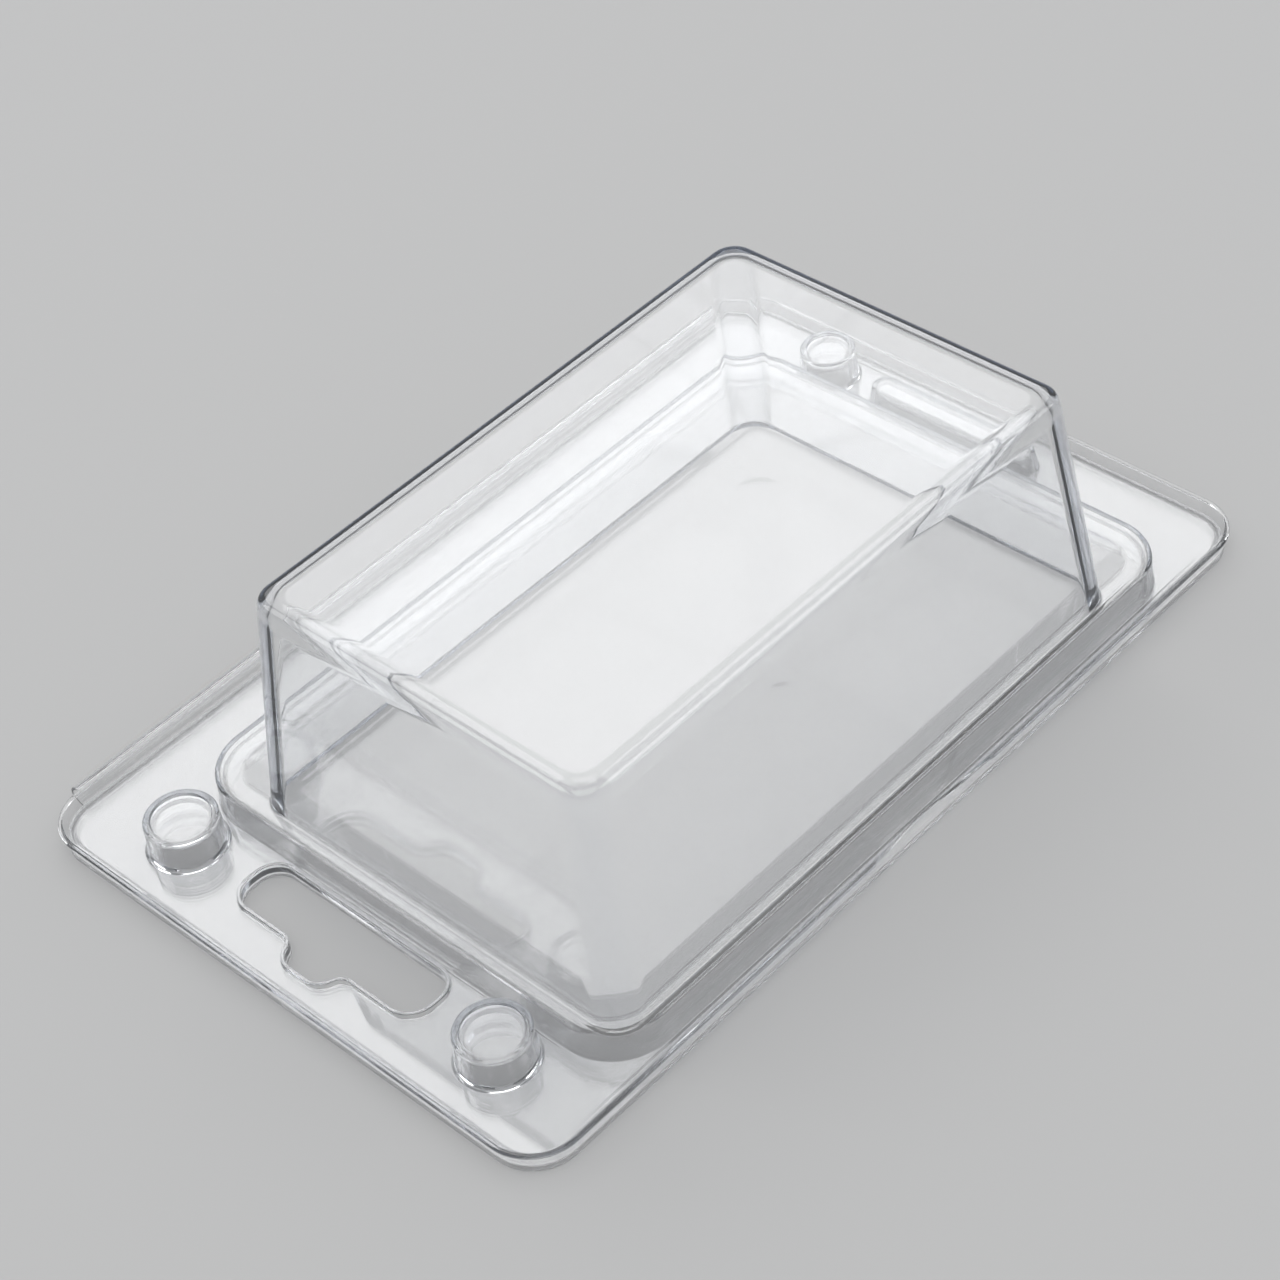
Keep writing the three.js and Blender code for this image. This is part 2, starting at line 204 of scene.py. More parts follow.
# Heights
BASE_TOP = SHEET
LID_BOTTOM = BASE_TOP + NEST_GAP
LID_TOP = LID_BOTTOM + SHEET
RIM_TOP = LID_TOP + RIM_HEIGHT
PLATFORM_TOP = LID_TOP + PLATFORM_HEIGHT
BUBBLE_TOP = PLATFORM_TOP + BUBBLE_HEIGHT
RIDGE_TOP = PLATFORM_TOP - NEST
SNAP_TOP = LID_TOP + SNAP_HEIGHT
SNAP_CEILING = SNAP_TOP - SNAP_DIMPLE_DEPTH - SHEET
STUD_TOP = SNAP_CEILING - NEST_GAP
RIM_ZONE = RIM_FLARE + LIP_WIDTH

# Clear plastic: haze is a share of 1, density is per metre
LID_HAZE = 0.03
LID_DENSITY = 80.0
BASE_HAZE = 0.18
BASE_DENSITY = 40.0
SPINE_HAZE = 0.03
SPINE_DENSITY = 70.0
PLASTIC_IOR = 1.48
DEPTH_TINT = (0.38, 0.45, 0.56, 1)
WAVE_SCALE = 40.0
WAVE_DETAIL = 1.5
WAVE_STRENGTH = 0.012
WAVE_HEIGHT = 0.0004
SHADOW_BLEND = 0.25
SHADOW_START = 0.3
SHADOW_FACING = (0.995, 0.995, 0.995, 1)
SHADOW_GRAZING = (0.65, 0.65, 0.65, 1)

# Floor, sky and camera: metres, but the camera's place, lens and sensor are in millimetres
FLOOR_COLOUR = (0.5, 0.5, 0.5, 1)
FLOOR_ROUGHNESS = 0.9
FLOOR_REACH = 10.0
FLOOR_Z = -0.0002
LAMPS_REACH = 0.6
EVENLY_PALE_FROM = 3 * LAMPS_REACH
LAMPS_AIM = (0, 0, 0.02)
HORIZON_HEIGHT = 0.05
HORIZON_COLOUR = (0.2, 0.204, 0.21, 1)
ZENITH_HEIGHT = 0.8
ZENITH_COLOUR = (0.25, 0.255, 0.26, 1)
CAMERA_PLACE = Vector((-189.0, -214.3, 275.1))
CAMERA_AZIMUTH = math.radians(48.875)
CAMERA_DIP = math.radians(43.026)
CAMERA_ROLL = math.radians(8.576)
CAMERA_LENS = 87.16
CAMERA_SENSOR = 36.0
CAMERA_CLIP = 0.01


def inset(bounds, amount, keep_radius=False):
    x0, x1, y0, y1, radius = bounds
    radius = radius if keep_radius else max(radius - amount, LEAST_RADIUS)
    return (x0 + amount, x1 - amount, y0 + amount, y1 - amount, radius)


OUTLINE = (-BOX_LENGTH / 2, BOX_LENGTH / 2, -BOX_WIDTH / 2, BOX_WIDTH / 2, BOX_CORNER_RADIUS)
FOLD = inset(OUTLINE, RIM_ZONE)
SLOT_OUTER_X = OUTLINE[0] + SLOT_TO_EDGE
SLOT_INNER_X = SLOT_OUTER_X + SLOT_WIDTH
FAR_FLANGE = 2 * (FAR_SNAP_RADIUS + SNAP_FLARE + SNAP_CLEARANCE)
PLATFORM_FOOT = (
    SLOT_INNER_X + SLOT_TO_PLATFORM,
    FOLD[1] - FAR_FLANGE,
    FOLD[2] + OPENING_FLANGE,
    FOLD[3] - HINGE_FLANGE,
    PLATFORM_CORNER_RADIUS + PLATFORM_DRAFT,
)
PLATFORM = inset(PLATFORM_FOOT, PLATFORM_DRAFT)
BUBBLE_FOOT = (
    PLATFORM[0] + HANG_SHELF,
    PLATFORM[1] - FAR_SHELF,
    PLATFORM[2] + OPENING_SHELF,
    PLATFORM[3] - HINGE_SHELF,
    BUBBLE_CORNER_RADIUS,
)
FAR_FLANGE_X = FOLD[1] - FAR_FLANGE / 2
SNAP_X = PLATFORM_FOOT[0] - SNAP_CLEARANCE / 2 - SNAP_FLARE - SNAP_RADIUS
FAR_SNAP_Y = BAR_LENGTH / 2 + BAR_TO_SNAP + FAR_SNAP_RADIUS
SNAPS = (
    (SNAP_X, SNAP_SPACING / 2, SNAP_RADIUS),
    (SNAP_X, -SNAP_SPACING / 2, SNAP_RADIUS),
    (FAR_FLANGE_X, FAR_SNAP_Y, FAR_SNAP_RADIUS),
)

# Rolled spine, and the shift that puts the frame's origin under the middle of the box
BASE_EDGE_Y = OUTLINE[3] - BASE_INSET
ROLL_BOTTOM = BASE_TOP / 2
ROLL_TOP = RIM_TOP - SHEET / 2
ROLL_RADIUS = (ROLL_TOP - ROLL_BOTTOM) / 2
ROLL_Y = OUTLINE[3] + CREASE_GAP / 2
ROLL_Z = (ROLL_TOP + ROLL_BOTTOM) / 2
SPINE_HALF = BOX_LENGTH / 2 - BOX_CORNER_RADIUS
SHIFT_Y = -(ROLL_Y + ROLL_RADIUS + SPINE_SHEET / 2 + OUTLINE[2]) / 2
TO_FRAME = Matrix.Scale(MM, 4) @ Matrix.Translation((0, SHIFT_Y, 0))


# Points

def rectangle(bounds, z):
    """Rounded rectangle with a supporting point on each straight beside each corner."""
    x0, x1, y0, y1, radius = bounds
    corners = (
        (x1 - radius, y0 + radius, -90),
        (x1 - radius, y1 - radius, 0),
        (x0 + radius, y1 - radius, 90),
        (x0 + radius, y0 + radius, 180),
    )
    points = []
    for cx, cy, start in corners:
        a0 = math.radians(start)
        a1 = math.radians(start + 90)
        first = Vector((cx + radius * math.cos(a0), cy + radius * math.sin(a0), z))
        points.append(first + SUPPORT * Vector((math.sin(a0), -math.cos(a0), 0)))
        for step in range(CORNER_STEPS + 1):
            angle = a0 + (a1 - a0) * step / CORNER_STEPS
            points.append(Vector((cx + radius * math.cos(angle), cy + radius * math.sin(angle), z)))
        points.append(points[-1] + SUPPORT * Vector((-math.sin(a1), math.cos(a1), 0)))
    return points


def circle(x, y, radius, z):
    turn = 2 * math.pi / ROUND_STEPS
    return [
        Vector((x + radius * math.cos(i * turn), y + radius * math.sin(i * turn), z))
        for i in range(ROUND_STEPS)
    ]


def stadium(draw_in, z):
    """Outline of the locking bar drawn in by an amount."""
    radius = BAR_WIDTH / 2 - draw_in
    reach = BAR_LENGTH / 2 - BAR_WIDTH / 2
    points = []
    for sign, start in ((1, 0.0), (-1, math.pi)):
        for step in range(2 * CORNER_STEPS + 1):
            angle = start + math.pi * step / (2 * CORNER_STEPS)
            x = FAR_FLANGE_X + radius * math.cos(angle)
            points.append(Vector((x, sign * reach + radius * math.sin(angle), z)))
        points.append(points[-1] - Vector((0, sign * SUPPORT, 0)))
    return points


def arc(cx, cy, radius, start, turn, z):
    """Points along an arc, from a start angle and through a turn, both in degrees."""
    angles = [math.radians(start + turn * i / CORNER_STEPS) for i in range(CORNER_STEPS + 1)]
    return [Vector((cx + radius * math.cos(a), cy + radius * math.sin(a), z)) for a in angles]


def slot(grow, z):
    """Outline of the hang slot grown by an amount, with its hook notch towards the hang edge."""
    inner = SLOT_INNER_X + grow
    outer = SLOT_OUTER_X - grow
    end = SLOT_LENGTH / 2 + grow
    radius = SLOT_CORNER_RADIUS + grow
    bends = HOOK_NOTCH_RADIUS + HOOK_SHOULDER_RADIUS
    sweep = math.acos(1 - HOOK_NOTCH_DEPTH / bends)
    notch_x = SLOT_OUTER_X - HOOK_NOTCH_DEPTH + HOOK_NOTCH_RADIUS
    notch_y = HOOK_NOTCH_FLAT / 2
    shoulder_x = SLOT_OUTER_X - HOOK_SHOULDER_RADIUS
    shoulder_y = notch_y + bends * math.sin(sweep)
    notch = HOOK_NOTCH_RADIUS + grow
    shoulder = HOOK_SHOULDER_RADIUS - grow
    bend = math.degrees(sweep)
    points = arc(inner - radius, end - radius, radius, 0, 90, z)
    points += arc(outer + radius, end - radius, radius, 90, 90, z)
    points += arc(shoulder_x, shoulder_y, shoulder, 0, -bend, z)
    points += arc(notch_x, notch_y, notch, 180 - bend, bend, z)
    points += arc(notch_x, -notch_y, notch, 180, bend, z)
    points += arc(shoulder_x, -shoulder_y, shoulder, bend, -bend, z)
    points += arc(outer + radius, radius - end, radius, 180, 90, z)
    points += arc(inner - radius, radius - end, radius, 270, 90, z)
    return points


def filleted(path):
    """Path of (across, height, radius) corners, each rounded and supported on both sides."""
    points = [Vector(path[0][:2])]
    for (a, b, c) in zip(path, path[1:], path[2:]):
        before, here, after = Vector(a[:2]), Vector(b[:2]), Vector(c[:2])
        into = (here - before).normalized()
        out = (after - here).normalized()
        turn = math.acos(max(-1.0, min(1.0, into.dot(out))))
        if b[2] <= 0 or turn < STRAIGHT_TURN:
            points.append(here)
            continue
        room = [FILLET_SHARE * (here - before).length, FILLET_SHARE * (after - here).length]
        reach = min(b[2] * math.tan(turn / 2), *room)
        support = min(SUPPORT, SUPPORT_SHARE * reach + SUPPORT_LEAST)
        start = here - into * reach
        end = here + out * reach
        points.append(start - into * support)
        for step in range(ARC_STEPS + 1):
            t = step / ARC_STEPS
            points.append(start * (1 - t) ** 2 + here * 2 * t * (1 - t) + end * t * t)
        points.append(end + out * support)
    points.append(Vector(path[-1][:2]))
    return points


def rounded_edge(middle, up):
    """Quarter round from the middle of the sheet's edge to its upper (1) or lower (-1) face."""
    half = SHEET / 2
    angles = [math.pi / 2 * i / ARC_STEPS for i in range(ARC_STEPS + 1)]
    return [(half * (1 - math.cos(a)), middle + up * half * math.sin(a)) for a in angles]


# Meshes

class Skin:
    """Closed skin of a piece, gathered as rings of points, strips between rings and flat fills."""

    def __init__(self):
        self.points = []
        self.faces = []

    def ring(self, points):
        start = len(self.points)
        self.points += points
        return list(range(start, start + len(points)))

    def strip(self, a, b):
        for i in range(len(a)):
            j = (i + 1) % len(a)
            self.faces.append((a[i], a[j], b[j], b[i]))

    def rings(self, outlines):
        indices = [self.ring(o) for o in outlines]
        for a, b in zip(indices, indices[1:]):
            self.strip(a, b)
        return indices

    def flat(self, outer, holes=()):
        loops = [outer, *holes]
        order = [i for loop in loops for i in loop]
        for tri in tessellate_polygon([[self.points[i] for i in loop] for loop in loops]):
            self.faces.append(tuple(order[i] for i in tri))

    def build(self, name, material):
        mesh = bpy.data.meshes.new(name)
        mesh.from_pydata([TO_FRAME @ p for p in self.points], [], self.faces)
        mesh.materials.append(material)
        tidy_mesh(mesh)
        obj = bpy.data.objects.new(name, mesh)
        bpy.context.collection.objects.link(obj)
        return obj


def tidy_mesh(mesh):
    bm = bmesh.new()
    bm.from_mesh(mesh)
    bmesh.ops.remove_doubles(bm, verts=bm.verts, dist=WELD_DISTANCE * MM)
    bmesh.ops.recalc_face_normals(bm, faces=bm.faces)
    for face in bm.faces:
        face.smooth = True
    bm.to_mesh(mesh)
    bm.free()
    mesh.set_sharp_from_angle(angle=math.radians(SHARP_DEGREES))


def rect_rings(bounds, path):
    return [rectangle(inset(bounds, d), z) for d, z in filleted(path)]


def snap_rings(x, y, path):
    return [circle(x, y, r, z) for r, z in filleted(path)]


def bar_rings(path):
    return [stadium(d, z) for d, z in filleted(path)]


def bubble_rings(path, extra):
    """Rings of the drafted bubble: its corners keep their radius all the way up the wall."""
    rings = []
    for d, z in filleted(path):
        rise = max(0.0, min(1.0, (z - PLATFORM_TOP) / BUBBLE_HEIGHT))
        plain = inset(BUBBLE_FOOT, d, keep_radius=True)
        radius = max(BUBBLE_CORNER_RADIUS + extra - (d - rise * BUBBLE_DRAFT), LEAST_BUBBLE_RADIUS)
        rings.append(rectangle((*plain[:4], radius), z))
    return rings


def lid_side(skin, depth):
    """One side of the lid: its outer face at depth 0, its inner face a sheet's gauge below.
    Returns the ring at the rim's edge and the ring round the slot."""
    toe = TOE_RADIUS + depth
    level = LID_TOP - depth
    rim_level = RIM_TOP - depth
    shelf = PLATFORM_TOP - depth
    roof = BUBBLE_TOP - depth
    lean = RIM_LEAN * depth
    build = CORNER_BUILD * depth
    edge = rounded_edge(RIM_TOP - SHEET / 2, 1 if depth == 0 else -1)
    wall = filleted([
        (SHEET / 2 + EDGE_STEP, rim_level, 0),
        (LIP_WIDTH - lean, rim_level, LIP_FOLD_RADIUS - LIP_FOLD_LOSS * depth),
        (RIM_ZONE - lean, level, RIM_FOLD_RADIUS + RIM_FOLD_GAIN * depth),
        (RIM_ZONE + RIM_MARGIN, level, 0),
    ])
    rim = skin.rings([rectangle(inset(OUTLINE, d), z) for d, z in edge + wall])
    platform = skin.rings(rect_rings(PLATFORM_FOOT, [
        (depth - PLATFORM_TOE_MARGIN - toe, level, 0),
        (depth, level, PLATFORM_TOE_SHARE * toe),
        (PLATFORM_DRAFT + depth, shelf, PLATFORM_EDGE_RADIUS - depth),
        (PLATFORM_DRAFT + depth + SHELF_MARGIN, shelf, 0),
    ]))
    bubble = skin.rings(bubble_rings([
        (depth - BUBBLE_TOE_MARGIN - BUBBLE_FOOT_RADIUS, shelf, 0),
        (depth, shelf, BUBBLE_FOOT_RADIUS + depth),
        (BUBBLE_DRAFT + depth, roof, BUBBLE_EDGE_RADIUS + build),
        (BUBBLE_DRAFT + depth + ROOF_MARGIN, roof, 0),
    ], build))
    skin.flat(platform[-1], [bubble[0]])
    skin.flat(bubble[-1])
    holes = [platform[0]]
    for x, y, radius in SNAPS:
        cap = skin.rings(snap_rings(x, y, cap_path(radius, depth)))
        skin.flat(cap[-1])
        holes.append(cap[0])
    top = LID_TOP + BAR_HEIGHT - depth
    bar = skin.rings(bar_rings([
        (depth - BAR_TOE_MARGIN, level, 0),
        (depth, level, BAR_TOE_RADIUS),
        (depth + BAR_DRAFT, top, BAR_EDGE_RADIUS - BAR_EDGE_LOSS * depth),
        (depth + BAR_DRAFT + BAR_TOP_MARGIN, top, 0),
    ]))
    skin.flat(bar[-1])
    holes.append(bar[0])
    if depth == 0:
        lip_top = LID_TOP + SLOT_LIP_HEIGHT
        slot_path = filleted([
            (-SHEET - SLOT_TOE_MARGIN, level, 0),
            (-SHEET, level, SLOT_TOE_RADIUS),
            (-SHEET, lip_top, SLOT_LIP_RADIUS),
            (0, lip_top, SLOT_LIP_RADIUS),
            (0, level, 0),
        ])
        gap = skin.rings([slot(-d, z) for d, z in slot_path])
    else:
        gap = [skin.ring(slot(0, level))] * 2
    holes.append(gap[0])
    skin.flat(rim[-1], holes)
    return rim[0], gap[-1]


def cap_path(radius, depth):
    """Section of a snap cap: flared and dished outside, plain inside."""
    wall = radius - SNAP_DRAFT
    if depth > 0:
        level = LID_TOP - depth
        return [
            (radius - depth + ROUND_TOE_MARGIN, level, 0),
            (radius - depth, level, ROUND_TOE_RADIUS),
            (wall - depth, SNAP_CEILING, SNAP_EDGE_RADIUS),
            (ROUND_CENTRE, SNAP_CEILING, 0),
        ]
    dimple = wall - SNAP_EDGE_RADIUS - SNAP_RING_WIDTH
    dish = SNAP_TOP - SNAP_DIMPLE_DEPTH
    return [
        (radius + SNAP_FLARE + CAP_TOE_MARGIN, LID_TOP, 0),
        (radius + SNAP_FLARE, LID_TOP, CAP_TOE_RADIUS),
        (radius, LID_TOP + SNAP_FLARE_HEIGHT, CAP_FLARE_RADIUS),
        (wall, SNAP_TOP, SNAP_EDGE_RADIUS),
        (dimple, SNAP_TOP, CAP_RING_RADIUS),
        (dimple - SNAP_DRAFT / 2, dish, CAP_DISH_RADIUS),
        (ROUND_CENTRE, dish, 0),
    ]


def base_side(skin, depth):
    """One side of the base, as for the lid."""
    level = BASE_TOP - depth
    ridge_level = RIDGE_TOP - depth
    edge = inset(OUTLINE, BASE_INSET)
    edge_top = BASE_TOP + BASE_EDGE_HEIGHT
    if depth == 0:
        rim = skin.rings(rect_rings(edge, [
            (0, edge_top - BASE_EDGE_START, 0),
            (0, edge_top, BASE_EDGE_RADIUS),
            (SHEET, edge_top, BASE_EDGE_RADIUS),
            (SHEET, level, BASE_FOLD_RADIUS),
            (SHEET + BASE_MARGIN, level, 0),
        ]))
    else:
        rim = skin.rings(rect_rings(edge, [
            (0, level + UNDERSIDE_START, 0),
            (0, level, BASE_EDGE_RADIUS),
            (UNDERSIDE_MARGIN, level, 0),
        ]))
    nested = inset(PLATFORM_FOOT, NEST)
    inner_edge = PLATFORM_DRAFT + RIDGE_WIDTH
    ramp_aim = level + RAMP_AIM_RISE * (RIDGE_TOP - BASE_TOP)
    ridge = skin.rings(rect_rings(nested, [
        (depth - RIDGE_TOE_MARGIN, level, 0),
        (depth, level, RIDGE_TOE_RADIUS + RIDGE_TOE_GAIN * depth),
        (PLATFORM_DRAFT + depth, ridge_level, RIDGE_EDGE_RADIUS - RIDGE_EDGE_LOSS * depth),
        (inner_edge - RIDGE_LEAN * depth, ridge_level, RIDGE_EDGE_RADIUS),
        (inner_edge + RAMP_AIM_RUN * RIDGE_SLOPE_RUN, ramp_aim, 0),
    ])[:-1])
    ramp_top = inset(PLATFORM, NEST + RIDGE_WIDTH)
    ramp = []
    for d, z in filleted([
        (-RAMP_START - depth, ridge_level - RAMP_START, 0),
        (RIDGE_SLOPE_RUN - RAMP_LEAN * depth, level, RAMP_FOOT_RADIUS),
        (RIDGE_SLOPE_RUN + FLOOR_MARGIN, level, 0),
    ]):
        share = max(0.0, min(1.0, d / RIDGE_SLOPE_RUN))
        radius = ramp_top[4] * (1 - share) + FLOOR_CORNER_RADIUS * share
        ramp.append(rectangle((*inset(ramp_top, d)[:4], max(radius, FLOOR_CORNER_RADIUS)), z))
    floor = skin.rings(ramp[1:])
    skin.strip(ridge[-1], floor[0])
    skin.flat(floor[-1])
    holes = [ridge[0]]
    for x, y, radius in SNAPS:
        foot = radius - NEST - depth
        top = STUD_TOP - depth
        stud = skin.rings(snap_rings(x, y, [
            (foot + ROUND_TOE_MARGIN, level, 0),
            (foot, level, ROUND_TOE_RADIUS),
            (foot - SNAP_DRAFT, top, SNAP_EDGE_RADIUS),
            (ROUND_CENTRE, top, 0),
        ]))
        skin.flat(stud[-1])
        holes.append(stud[0])
    top = LID_TOP + BAR_HEIGHT - NEST - depth
    start = NEST + depth
    drafted = start + BASE_BAR_DRAFT_SHARE * BAR_DRAFT
    bar = skin.rings(bar_rings([
        (start - BAR_TOE_MARGIN, level, 0),
        (start, level, BAR_TOE_RADIUS),
        (drafted, top, BASE_BAR_EDGE_RADIUS),
        (drafted + BASE_BAR_TOP_MARGIN, top, 0),
    ]))
    skin.flat(bar[-1])
    holes.append(bar[0])
    gap = skin.ring(slot(0, level))
    holes.append(gap)
    skin.flat(rim[-1], holes)
    return rim[0], gap


def two_sided(side, name, material):
    """Sheet with an outer and an inner face, joined round its outline and its slot."""
    skin = Skin()
    outer_edge, outer_slot = side(skin, 0.0)
    inner_edge, inner_slot = side(skin, SHEET)
    skin.strip(outer_edge, inner_edge)
    skin.strip(outer_slot, inner_slot)
    return skin.build(name, material)


def cut_notch(obj):
    """Scoops the thumb notch out of the lid's opening edge with a round cutter."""
    half = NOTCH_LENGTH / 2
    radius = (half * half + NOTCH_DEPTH * NOTCH_DEPTH) / (2 * NOTCH_DEPTH)
    middle = (PLATFORM[0] + PLATFORM[1]) / 2
    centre_y = OUTLINE[2] + NOTCH_DEPTH - radius
    skin = Skin()
    turn = 2 * math.pi / NOTCH_STEPS
    angles = [i * turn for i in range(NOTCH_STEPS)]
    round_cut = [(middle + radius * math.sin(a), centre_y + radius * math.cos(a)) for a in angles]
    rings = skin.rings([
        [Vector((x, y, z)) for x, y in round_cut]
        for z in (LID_BOTTOM - CUT_BELOW, RIM_TOP + CUT_ABOVE)
    ])
    for ring in rings:
        skin.faces.append(tuple(ring))
    cutter = skin.build("notch_cutter", obj.active_material)
    modifier = obj.modifiers.new("notch", "BOOLEAN")
    modifier.operation = "DIFFERENCE"
    modifier.object = cutter
    modifier.solver = "EXACT"
    depsgraph = bpy.context.evaluated_depsgraph_get()
    cut = bpy.data.meshes.new_from_object(obj.evaluated_get(depsgraph))
    obj.modifiers.clear()
    obj.data = cut
    bpy.data.objects.remove(cutter)
    tidy_mesh(obj.data)


def strip_along(section, name, material):
    """Closed strip along the spine's length with the given section in the YZ plane."""
    skin = Skin()
    places = (-SPINE_HALF, -SPINE_HALF + STRIP_END, SPINE_HALF - STRIP_END, SPINE_HALF)
    ends = skin.rings([[Vector((x, y, z)) for y, z in section] for x in places])
    skin.faces.append(tuple(ends[0]))
    skin.faces.append(tuple(ends[-1]))
    return skin.build(name, material)


def spine_section():
    """Section of the rolled strip: a short flat at the base, then the roll up to the rim."""
    half = SPINE_SHEET / 2
    end = math.acos(CREASE_GAP / 2 / ROLL_RADIUS)
    whole = end + math.pi / 2
    angles = [-math.pi / 2 + whole * i / ROLL_STEPS for i in range(ROLL_STEPS + 1)]

    def roll(radius):
        return [(ROLL_Y + radius * math.cos(a), ROLL_Z + radius * math.sin(a)) for a in angles]

    outer = roll(ROLL_RADIUS + half)
    inner = roll(ROLL_RADIUS - half)
    start_y = BASE_EDGE_Y + CREASE_GAP
    return [(start_y, ROLL_BOTTOM - half)] + outer + inner[::-1] + [(start_y, ROLL_BOTTOM + half)]


def film_section(edge_y, z):
    """Thin film across a crease gap, from just inside one edge to just inside the other."""
    half = CREASE_FILM / 2
    start = edge_y - FILM_OVERLAP
    width = CREASE_GAP + 2 * FILM_OVERLAP
    ys = [start + width * i / FILM_STEPS for i in range(FILM_STEPS + 1)]
    return [(y, z - half) for y in ys] + [(y, z + half) for y in reversed(ys)]


# Materials

def clear_sheet(name, haze, density):
    """Clear formed plastic: real refraction, a cool tint in its depth and the soft waviness
    of a drawn sheet. Its shadow is lighter where the light meets it squarely."""
    material = bpy.data.materials.new(name)
    material.use_nodes = True
    nodes = material.node_tree.nodes
    links = material.node_tree.links
    shader = nodes["Principled BSDF"]
    shader.inputs["Base Color"].default_value = (1, 1, 1, 1)
    shader.inputs["Transmission Weight"].default_value = 1 - haze
    shader.inputs["IOR"].default_value = PLASTIC_IOR
    shader.inputs["Roughness"].default_value = 0.0
    place = nodes.new("ShaderNodeTexCoord")
    wave = nodes.new("ShaderNodeTexNoise")
    wave.inputs["Scale"].default_value = WAVE_SCALE
    wave.inputs["Detail"].default_value = WAVE_DETAIL
    bump = nodes.new("ShaderNodeBump")
    bump.inputs["Strength"].default_value = WAVE_STRENGTH
    bump.inputs["Distance"].default_value = WAVE_HEIGHT
    links.new(place.outputs["Object"], wave.inputs["Vector"])
    links.new(wave.outputs["Fac"], bump.inputs["Height"])
    links.new(bump.outputs["Normal"], shader.inputs["Normal"])
    lets_light_by = nodes.new("ShaderNodeBsdfTransparent")
    facing = nodes.new("ShaderNodeLayerWeight")
    facing.inputs["Blend"].default_value = SHADOW_BLEND
    shade = nodes.new("ShaderNodeValToRGB")
    shade.color_ramp.elements[0].position = SHADOW_START
    shade.color_ramp.elements[0].color = SHADOW_FACING
    shade.color_ramp.elements[1].color = SHADOW_GRAZING
    links.new(facing.outputs["Facing"], shade.inputs["Fac"])
    links.new(shade.outputs["Color"], lets_light_by.inputs["Color"])
    ray = nodes.new("ShaderNodeLightPath")
    mix = nodes.new("ShaderNodeMixShader")
    links.new(ray.outputs["Is Shadow Ray"], mix.inputs["Fac"])
    links.new(shader.outputs["BSDF"], mix.inputs[1])
    links.new(lets_light_by.outputs["BSDF"], mix.inputs[2])
    links.new(mix.outputs["Shader"], nodes["Material Output"].inputs["Surface"])
    depth = nodes.new("ShaderNodeVolumeAbsorption")
    depth.inputs["Color"].default_value = DEPTH_TINT
    depth.inputs["Density"].default_value = density
    links.new(depth.outputs["Volume"], nodes["Material Output"].inputs["Volume"])
    return material


def floor_material():
    """Pale floor: lit and shadowed round the part, and evenly pale further out than the
    lamps reach."""
    material = bpy.data.materials.new("floor")
    material.use_nodes = True
    nodes = material.node_tree.nodes
    links = material.node_tree.links
    shader = nodes["Principled BSDF"]
    shader.inputs["Base Color"].default_value = FLOOR_COLOUR
    shader.inputs["Roughness"].default_value = FLOOR_ROUGHNESS
    even = nodes.new("ShaderNodeEmission")
    even.inputs["Color"].default_value = FLOOR_COLOUR
    place = nodes.new("ShaderNodeTexCoord")
    away = nodes.new("ShaderNodeVectorMath")
    away.operation = "LENGTH"
    fade = nodes.new("ShaderNodeMapRange")
    fade.inputs["From Min"].default_value = LAMPS_REACH
    fade.inputs["From Max"].default_value = EVENLY_PALE_FROM
    ray = nodes.new("ShaderNodeLightPath")
    shiny = nodes.new("ShaderNodeMath")
    shiny.operation = "MAXIMUM"
    seen = nodes.new("ShaderNodeMath")
    seen.operation = "MAXIMUM"
    share = nodes.new("ShaderNodeMath")
    share.operation = "MULTIPLY"
    mix = nodes.new("ShaderNodeMixShader")
    links.new(place.outputs["Object"], away.inputs[0])
    links.new(away.outputs["Value"], fade.inputs["Value"])
    links.new(ray.outputs["Is Glossy Ray"], shiny.inputs[0])
    links.new(ray.outputs["Is Transmission Ray"], shiny.inputs[1])
    links.new(ray.outputs["Is Camera Ray"], seen.inputs[0])
    links.new(shiny.outputs["Value"], seen.inputs[1])
    links.new(fade.outputs["Result"], share.inputs[0])
    links.new(seen.outputs["Value"], share.inputs[1])
    links.new(share.outputs["Value"], mix.inputs["Fac"])
    links.new(shader.outputs["BSDF"], mix.inputs[1])
    links.new(even.outputs["Emission"], mix.inputs[2])
    links.new(mix.outputs["Shader"], nodes["Material Output"].inputs["Surface"])
    return material


# Pieces

lid = two_sided(lid_side, "lid_sheet", clear_sheet("clear_lid", LID_HAZE, LID_DENSITY))
cut_notch(lid)
base = two_sided(base_side, "base_sheet", clear_sheet("clear_base", BASE_HAZE, BASE_DENSITY))
spine_material = clear_sheet("clear_spine", SPINE_HAZE, SPINE_DENSITY)
spine = strip_along(spine_section(), "spine_sheet", spine_material)
lower_film = strip_along(film_section(BASE_EDGE_Y, ROLL_BOTTOM), "lower_crease", spine_material)
upper_film = strip_along(film_section(OUTLINE[3], ROLL_TOP), "upper_crease", spine_material)

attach(lid, "lid")
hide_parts("lid_shell")
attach(base, "base")
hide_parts("base_shell")
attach(spine, "spine")
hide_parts("hinge_spine")


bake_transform(lower_film)
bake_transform(upper_film)

# Floor, light and camera

floor_mesh = bpy.data.meshes.new("floor")
floor_corners = [
    (x * FLOOR_REACH, y * FLOOR_REACH, FLOOR_Z)
    for x, y in ((-1, -1), (1, -1), (1, 1), (-1, 1))
]
floor_mesh.from_pydata(floor_corners, [], [(0, 1, 2, 3)])
floor = bpy.data.objects.new("floor", floor_mesh)
bpy.context.collection.objects.link(floor)
floor.data.materials.append(floor_material())


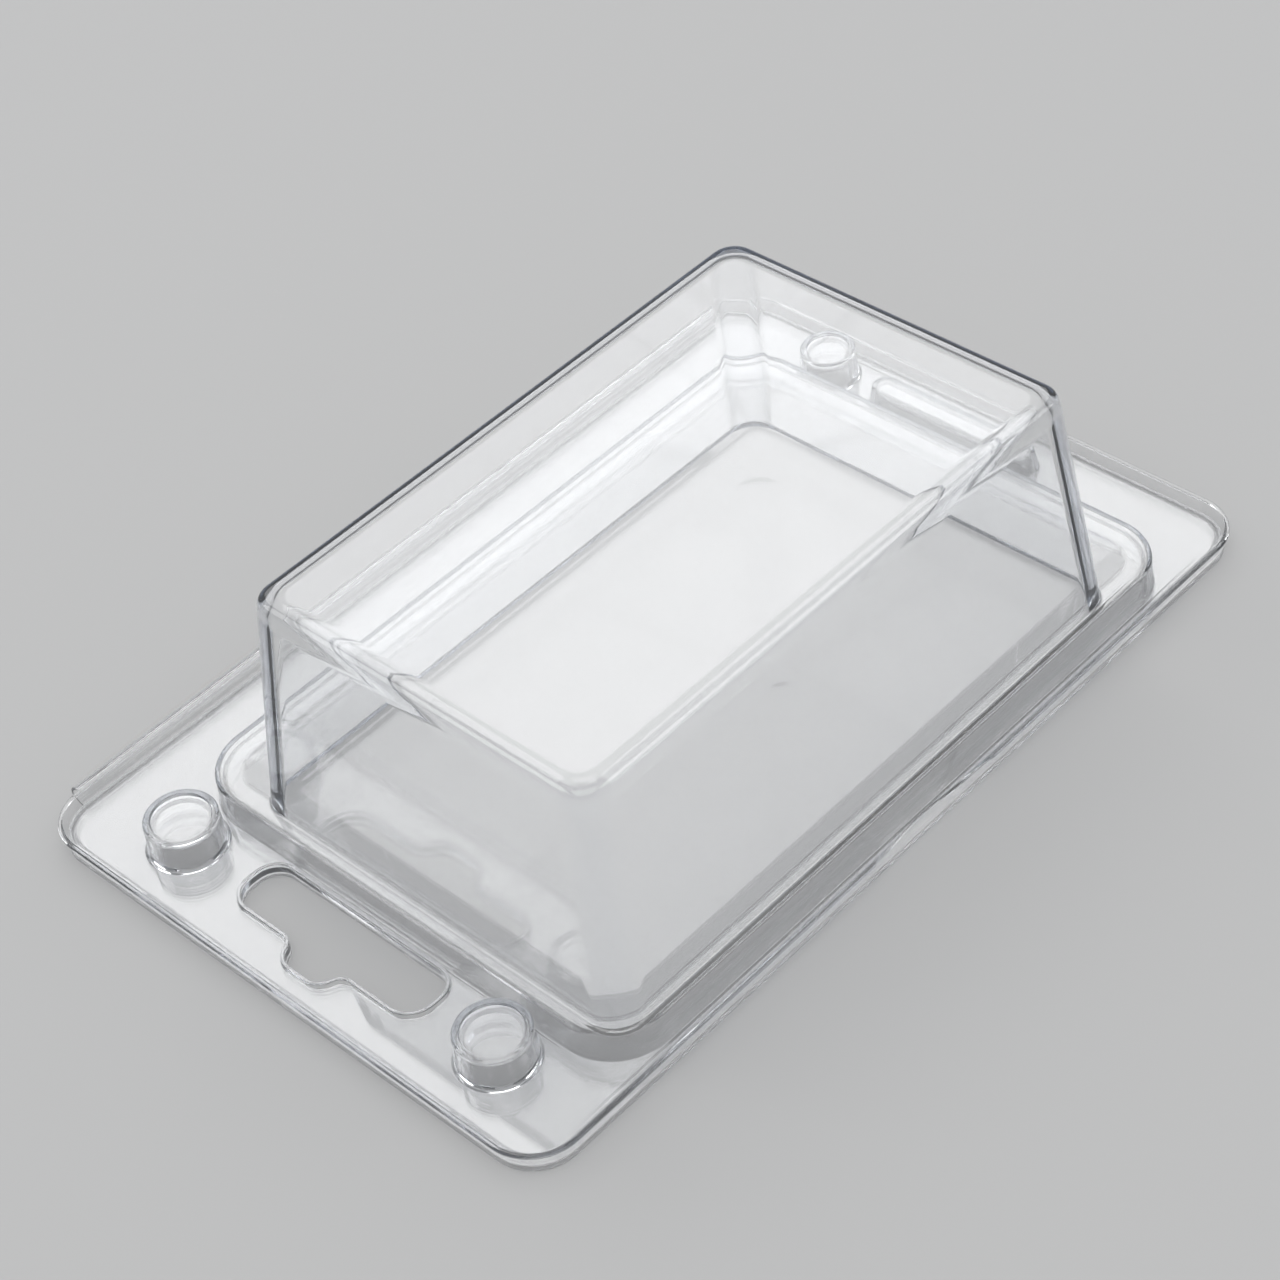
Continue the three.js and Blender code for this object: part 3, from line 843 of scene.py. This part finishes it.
def softbox(name, place, width, height, radiance):
    """Area lamp of a given surface brightness, facing the part."""
    lamp = bpy.data.lights.new(name, "AREA")
    lamp.shape = "RECTANGLE"
    lamp.size = width
    lamp.size_y = height
    lamp.energy = radiance * math.pi * width * height
    obj = bpy.data.objects.new(name, lamp)
    bpy.context.collection.objects.link(obj)
    obj.location = place
    aim = Vector(LAMPS_AIM) - Vector(place)
    obj.rotation_euler = aim.to_track_quat("-Z", "Y").to_euler()


softbox("main_softbox", place=(0.50, 0.60, 0.80), width=0.95, height=0.62, radiance=2.3)
softbox("top_softbox", place=(-0.25, -0.30, 1.10), width=1.0, height=1.0, radiance=2.0)
softbox("left_softbox", place=(-0.47, 0.60, 0.72), width=0.6, height=0.38, radiance=3.0)
softbox("right_softbox", place=(0.53, -0.55, 0.72), width=0.6, height=0.38, radiance=3.0)

world = bpy.data.worlds.new("studio")
world.use_nodes = True
sky = world.node_tree.nodes
sky_links = world.node_tree.links
around = sky.new("ShaderNodeTexCoord")
height = sky.new("ShaderNodeSeparateXYZ")
ramp = sky.new("ShaderNodeValToRGB")
ramp.color_ramp.elements[0].position = HORIZON_HEIGHT
ramp.color_ramp.elements[0].color = HORIZON_COLOUR
ramp.color_ramp.elements[1].position = ZENITH_HEIGHT
ramp.color_ramp.elements[1].color = ZENITH_COLOUR
sky_links.new(around.outputs["Generated"], height.inputs["Vector"])
sky_links.new(height.outputs["Z"], ramp.inputs["Fac"])
sky_links.new(ramp.outputs["Color"], sky["Background"].inputs["Color"])
bpy.context.scene.world = world

forward = Vector((
    math.cos(CAMERA_DIP) * math.cos(CAMERA_AZIMUTH),
    math.cos(CAMERA_DIP) * math.sin(CAMERA_AZIMUTH),
    -math.sin(CAMERA_DIP),
))
side = forward.cross(Vector((0, 0, 1))).normalized()
level = side.cross(forward)
up = level * math.cos(CAMERA_ROLL) + side * math.sin(CAMERA_ROLL)
right = forward.cross(up)
camera_data = bpy.data.cameras.new("camera")
camera_data.lens = CAMERA_LENS
camera_data.sensor_width = CAMERA_SENSOR
camera_data.clip_start = CAMERA_CLIP
camera = bpy.data.objects.new("camera", camera_data)
bpy.context.collection.objects.link(camera)
turn = Matrix((right, up, -forward)).transposed().to_4x4()
camera.matrix_world = Matrix.Translation(TO_FRAME @ CAMERA_PLACE) @ turn
bpy.context.scene.camera = camera

scene = bpy.context.scene
scene.view_settings.view_transform = "Standard"
scene.cycles.max_bounces = 24
scene.cycles.transmission_bounces = 24
scene.cycles.glossy_bounces = 12
scene.cycles.transparent_max_bounces = 32
scene.cycles.caustics_refractive = False
scene.cycles.caustics_reflective = False
